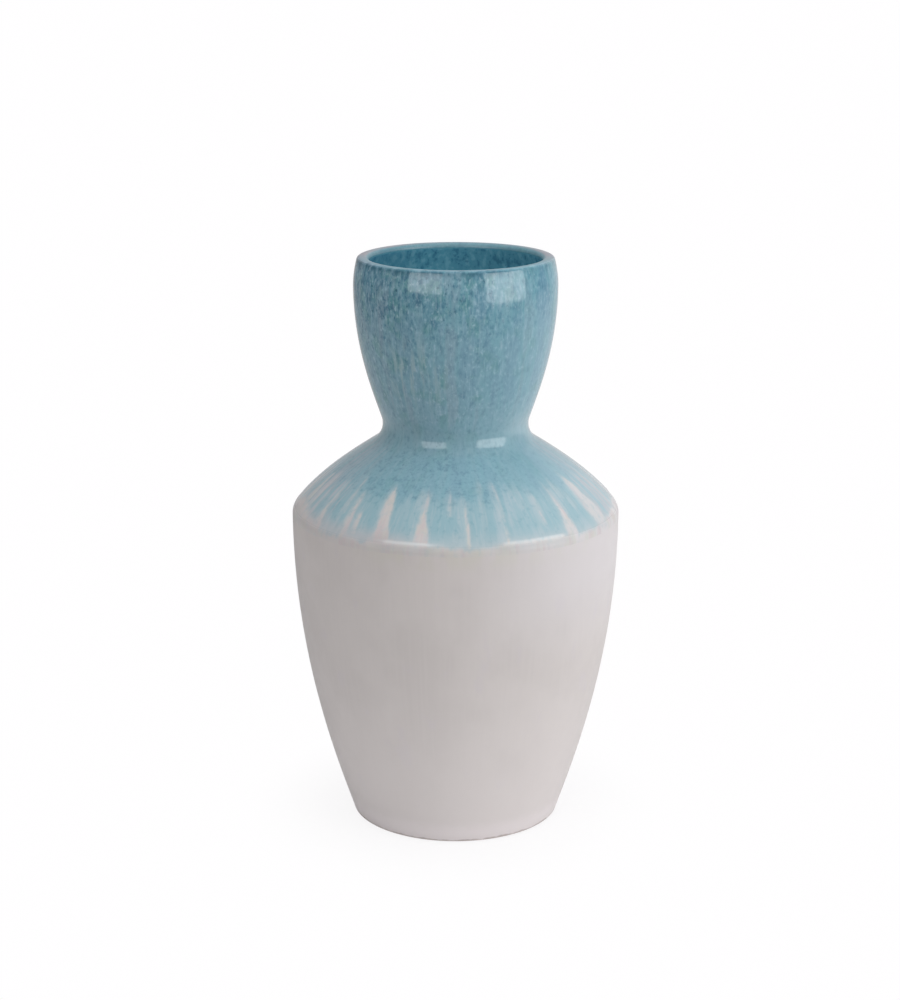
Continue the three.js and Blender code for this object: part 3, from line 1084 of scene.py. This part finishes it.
def beadOf(along):
    # How far the bead stands out: an even slope up its lower side and a slow fall above it. It is full on
    # two stretches at the front and two at the back, and gone between them.
    into = along * mm - blue["ridgeRun"] + blue["ridgeWobble"] * ripple(azimuths, (5, 13, 31), 21)
    climb = np.clip(into / blue["ridgeWidth"] + 0.5, 0, 1)
    full = np.zeros(segments)
    breakAndHighlight = np.zeros(segments)
    fadeOut, fadeIn = blue["ridgeEnds"]
    for middle, reach, pale in blue["ridgeFull"]:
        stretch = smooth(reach + fadeOut, reach - fadeIn, np.abs(turnsFrom(middle)))
        full = np.maximum(full, stretch)
        breakAndHighlight = np.maximum(breakAndHighlight, stretch * pale)
    rounded = blue["ridgeRounding"]
    height = blue["ridgeHeight"] * ((1 - rounded) * climb + rounded * smooth(0, 1, climb))
    return height * np.exp(-np.maximum(into, 0) / blue["ridgeFade"]) * full, into / mm, full, breakAndHighlight


def makeBlue():
    stretches = upperOf(1)
    lipRow = len(pick(stretches, *wallNames)[0]) - 1
    at, out = pick(stretches, *wallNames, "lip", "mouth")
    outside = len(at)
    run = runOf(bellyOf(blue["runSteps"])[0])[-1] + runOf(at)
    at, out = closeSection(at, out, size["glaze"], blue["hiddenTurn"], blue["hiddenRun"])
    along = np.r_[run, np.full(len(at) - outside, run[0])][:, None] / mm
    depth, bare, ragged = gapFields(at, along)
    bead, into, full, breakAndHighlight = beadOf(along)
    sink = blue["gapSink"] * slope("sinkEdge", depth) * slope("sinkRun", into)
    stand = unevenness(at) + bead - sink
    stand[outside:] = unevenness(at[outside:])
    piece = turned("blueCoat", at, segments, out, stand, mapShares(at, outside))

    level = at[:, 1:] / mm
    overLip = np.zeros((len(at), 1))
    overLip[lipRow:outside, 0] = np.linspace(0, 1, outside - lipRow)
    dense = slope("denseEnd", sides) + blue["denseWander"] * ripple(azimuths, (4, 9, 17, 29), 9)
    calm = turnBell(*bells["calm"])
    slateLeft = slope("slateLeft", sides) * (0.85 + 0.2 * ripple(azimuths, (3, 5, 9), 41))
    worn = slope("wornBack", np.cos(azimuths)) + sum(turnBell(*patch) for patch in blue["wornLip"])
    innerDown = slope("innerDown", overLip)
    blur = blue["glossBlur"] + blue["glossBlurBetween"] * (1 - full)
    satin = smooth(blur, -blur, along - blue["glossRun"])
    fields = {
        "gapDepth": depth,
        "gapBare": bare,
        "ragged": ragged,
        # the dense glaze ends part of the way down the dome, lower at some places than at others
        "runZone": slope("runZone", dense - along),
        "runLow": slope("runLow", along),
        "darkFlecks": (
            slope("flecks", level) * (1.1 - 0.65 * calm)
            + slope("flecksLeftLevel", level) * slope("flecksLeftSide", sides)
        ),
        "hazy": slope("milkyCup", level) + slope("milkyDome", level) + bell("milkyWaist", level),
        "busy": slope("busy", level) * (1 - 0.5 * calm),
        # pale grey streaks low on the cup, left of the middle
        "veil": bell("veilLevel", level) * turnBell(*bells["veilTurn"]),
        # the lip is worn to grey at its two ends, least at the front
        "rim": slope("crestUp", overLip) * slope("crestDown", overLip) * np.minimum(worn, 1),
        "rimTeal": slope("innerUp", overLip) * innerDown,
        "slateSide": (slope("slateNeck", level) + slope("slateCup", level)) * slateLeft,
        "underLip": bell("underLip", along - along[lipRow]) * (1.1 - 0.8 * calm),
        "sideGrey": slope("greyDome", level) * (slope("greyLeft", sides) + slope("greyRight", sides)),
        # painted light: a paler lit right of the low dome, and painted sheen at both far ends of the waist
        "sidePaintedLight": (
            slope("paleDome", level) * slope("paleSide", sides)
            + bell("paleWaist", level) * (slope("waistRight", sides) + slope("waistLeft", sides))
        ),
        "lively": slope("lively", sides),
        # painted shade at the far left of the edge, where the wall turns up
        "leftPaintedShade": bell("leftPaintedShade", along) * slope("leftShadeSide", sides),
        # painted shade on the band where the wall turns up over the edge, strongest along the bead
        "edgePaintedShade": bell("edgePaintedShade", along) * (blue["edgeShadeBetween"] + (1 - blue["edgeShadeBetween"]) * full),
        "beadPaleAndHighlight": bell("beadPaleAndHighlight", into) * breakAndHighlight,
        "inMouth": slope("mouth", overLip),
        # the gloss ends sharply at the bead and fades out where there is none, and the lip is satin
        "satin": np.maximum(satin, slope("satinUp", overLip) * innerDown),
    }
    for name, values in fields.items():
        addValues(piece, name, np.broadcast_to(values, stand.shape))
    dress(piece, "blue_glaze", blueMaterial(fields))


# Liner

liner = {
    "teal": (92, 158, 180),
    "bright": (118, 180, 198),
    "deep": (50, 108, 138),
    "leftShadeFrom": (-0.012, -0.045),  # painted shade on the left inside the mouth, by x in metres
    "ringHeight": 0.35 * mm,  # throwing rings that show through the liner's face
    "ringPitch": 7.5 * mm,
    # they fade in between the first of these and the second, below the rim and above the foot
    "ringBelow": (14 * mm, 26 * mm),
    "ringAbove": (20 * mm, 30 * mm),
}


def linerMaterial():
    material, tree, surface = newMaterial("linerGlaze")
    mottle = useGroup(tree, glazeCloud, Size=4, Stretch=1.3, Detail=3, Shift=13)
    blots = useGroup(tree, glazeSpecks, Spacing=4, Size=3.6, Share=0.5, Ragged=0.3, Shift=12)
    specks = useGroup(tree, glazeSpecks, Spacing=2.4, Size=1.6, Share=0.4, Ragged=0.2, Shift=15)
    color = coated(tree, shade(*liner["teal"]), ramp(tree, mottle, 0.5, 0.66, 0, 0.8), liner["bright"])
    deepenedAndShaded = (
        ramp(tree, mottle, 0.48, 0.36, 0, 0.6),
        times(tree, blots, 0.6),
        times(tree, specks, 0.7),
        # painted shade on the left inside the mouth
        ramp(tree, placeParts(tree)["X"], *liner["leftShadeFrom"], 0, 0.4),
    )
    for share in deepenedAndShaded:
        color = coated(tree, color, share, liner["deep"])
    setInputs(tree, surface, {
        "Base Color": color, "Roughness": ramp(tree, mottle, 0.3, 0.7, 0.09, 0.14), "IOR": 1.5,
    })
    return material


def makeLiner():
    at, out = pick(upperOf(innerFineness), *wallNames)
    toCavity = size["glaze"] + size["wall"]

    def face(coat):
        lowAt, lowOut = lowerCavity(coat)
        upAt = (at - out * (toCavity + coat))[::-1]
        return np.vstack([upAt, lowAt[1:]]), np.vstack([out[::-1], lowOut[1:]])

    back, backOut = face(0)
    front, frontOut = face(size["liner"])
    # the rings stand into the cavity: the face moves against the wall's outward side
    level = front[:, 1]
    rings = 0.5 + 0.5 * np.cos(level * 2 * math.pi / liner["ringPitch"])
    rings = rings * smooth(*liner["ringBelow"], size["height"] - level) * smooth(*liner["ringAbove"], level)
    section = np.vstack([back[::-1], front])
    sectionOut = np.vstack([backOut[::-1], frontOut])
    stand = np.r_[np.zeros(len(back)), -liner["ringHeight"] * rings][:, None] * np.ones((1, innerSegments))
    piece = turned("linerCoat", section, innerSegments, sectionOut, stand)
    dress(piece, "liner_glaze", linerMaterial())


# Clay sections and their seams

clay = {
    "base": (176, 106, 72),
    "light": (196, 128, 92),
    "dark": (150, 84, 56),
    "grog": (214, 176, 144),
    "slip": (188, 120, 86),
    "slipDark": (170, 104, 74),
    "grooveDepth": 0.18 * mm,  # turning marks under the foot
    "groovePitch": 2.2 * mm,
    "grooveFrom": 4 * mm,  # the marks are full between this far from the axis and this far from the ring
    "grooveShort": 5 * mm,
    "bevel": 1.5 * mm,  # where the recess slopes down to the foot ring
    "ringRound": 0.6 * mm,
    "basePlaces": 80, "ringPlaces": 6, "roundPlaces": 7, "seamPlaces": 7,
}


def clayMaterial(name, base, light, dark, grogShare):
    material, tree, surface = newMaterial(name)
    cloud = useGroup(tree, glazeCloud, Size=18, Detail=4, Shift=20)
    grain = useGroup(tree, glazeCloud, Size=0.9, Detail=3, Shift=22)
    grog = useGroup(tree, glazeSpecks, Spacing=1.9, Size=1, Share=grogShare, Ragged=0.25, Shift=21)
    color = coated(tree, shade(*dark), ramp(tree, cloud, 0.35, 0.65), base)
    color = coated(tree, color, ramp(tree, grain, 0.45, 0.7, 0, 0.7), light)
    color = coated(tree, color, times(tree, grog, 0.8), clay["grog"])
    rise = calc(tree, "MULTIPLY_ADD", grog, 0.5, grain)
    setInputs(tree, surface, {
        "Base Color": color, "Roughness": ramp(tree, grain, 0.3, 0.7, 0.78, 0.92),
        "Normal": bumped(tree, rise, 0.5, 0.15 * mm),
    })
    return material


def flatRow(across, height):
    # places along one line at one height
    return np.stack([across, np.full(len(across), height)], axis=1)


def makeBody(material):
    # foot ring, recessed base, floor and tapered wall in one closed section
    at, out = bellyOf(innerSteps)
    wall = at - out * size["glaze"]
    cavity, _ = lowerCavity(0)
    inside, outside, rounding = size["ringInside"], size["ringOutside"], clay["ringRound"]
    reach = inside - clay["bevel"]
    baseX = np.linspace(0, reach, clay["basePlaces"])
    groove = clay["grooveDepth"] * (0.5 - 0.5 * np.cos(baseX * 2 * math.pi / clay["groovePitch"]))
    groove = groove * smooth(0, clay["grooveFrom"], baseX)
    groove = groove * smooth(reach, inside - clay["grooveShort"], baseX)
    base = np.stack([baseX, size["recess"] + groove], axis=1)
    # the foot ring is a flat face with a round at each side
    turn = np.linspace(0, math.pi / 2, clay["roundPlaces"])[1:-1]
    ring = flatRow(np.linspace(inside + rounding, outside - rounding, clay["ringPlaces"]), 0)
    inner = np.stack([inside + rounding * (1 - np.cos(turn)), rounding * (1 - np.sin(turn))], axis=1)
    outer = np.stack([outside - rounding * (1 - np.sin(turn)), rounding * (1 - np.cos(turn))], axis=1)
    section = np.vstack([base, inner, ring, outer, wall, cavity])
    dress(turned("lowerBody", section, innerSegments), "lower_body", material)


def makeShoulder(material):
    at, out = pick(upperOf(innerFineness), "edge", "dome", "waistIn")
    section, _ = closeSection(at - out * size["glaze"], out, size["wall"])
    dress(turned("shoulderWall", section, innerSegments), "shoulder", material)


def makeNeckCup(material):
    stretches = upperOf(innerFineness)
    wallAt, wallOut = pick(stretches, "waistOut", "neck", "tuck")
    at, out = pick(stretches, "waistOut", "neck", "tuck", "lip", "mouth")
    outer = (at - out * size["glaze"])[:-1]
    inner = (wallAt - wallOut * (size["glaze"] + size["wall"]))[::-1]
    dress(turned("neckCup", np.vstack([outer, inner]), innerSegments), "neck_cup", material)


def makeSeam(name, node, band, wallRadius, material):
    # a flat ring of slip between two sections, as wide as the clay wall
    outerX = wallRadius - size["glaze"]
    across = np.linspace(outerX - size["wall"], outerX, clay["seamPlaces"])
    section = np.vstack([flatRow(across, size[band + "Bottom"]), flatRow(across[::-1], size[band + "Top"])])
    dress(turned(name, section, innerSegments), node, material)


makeCream()
makeBlue()
makeLiner()
terracotta = clayMaterial("terracotta", clay["base"], clay["light"], clay["dark"], 0.35)
makeBody(terracotta)
makeShoulder(terracotta)
makeNeckCup(terracotta)
slip = clayMaterial("lutingSlip", clay["slip"], clay["light"], clay["slipDark"], 0.08)
makeSeam("shoulderSeam", "shoulder_seam", "edge", size["shoulderRadius"], slip)
makeSeam("waistSeam", "waist_seam", "waist", size["waistRadius"], slip)

scene = bpy.context.scene
scene.view_settings.view_transform = "Standard"
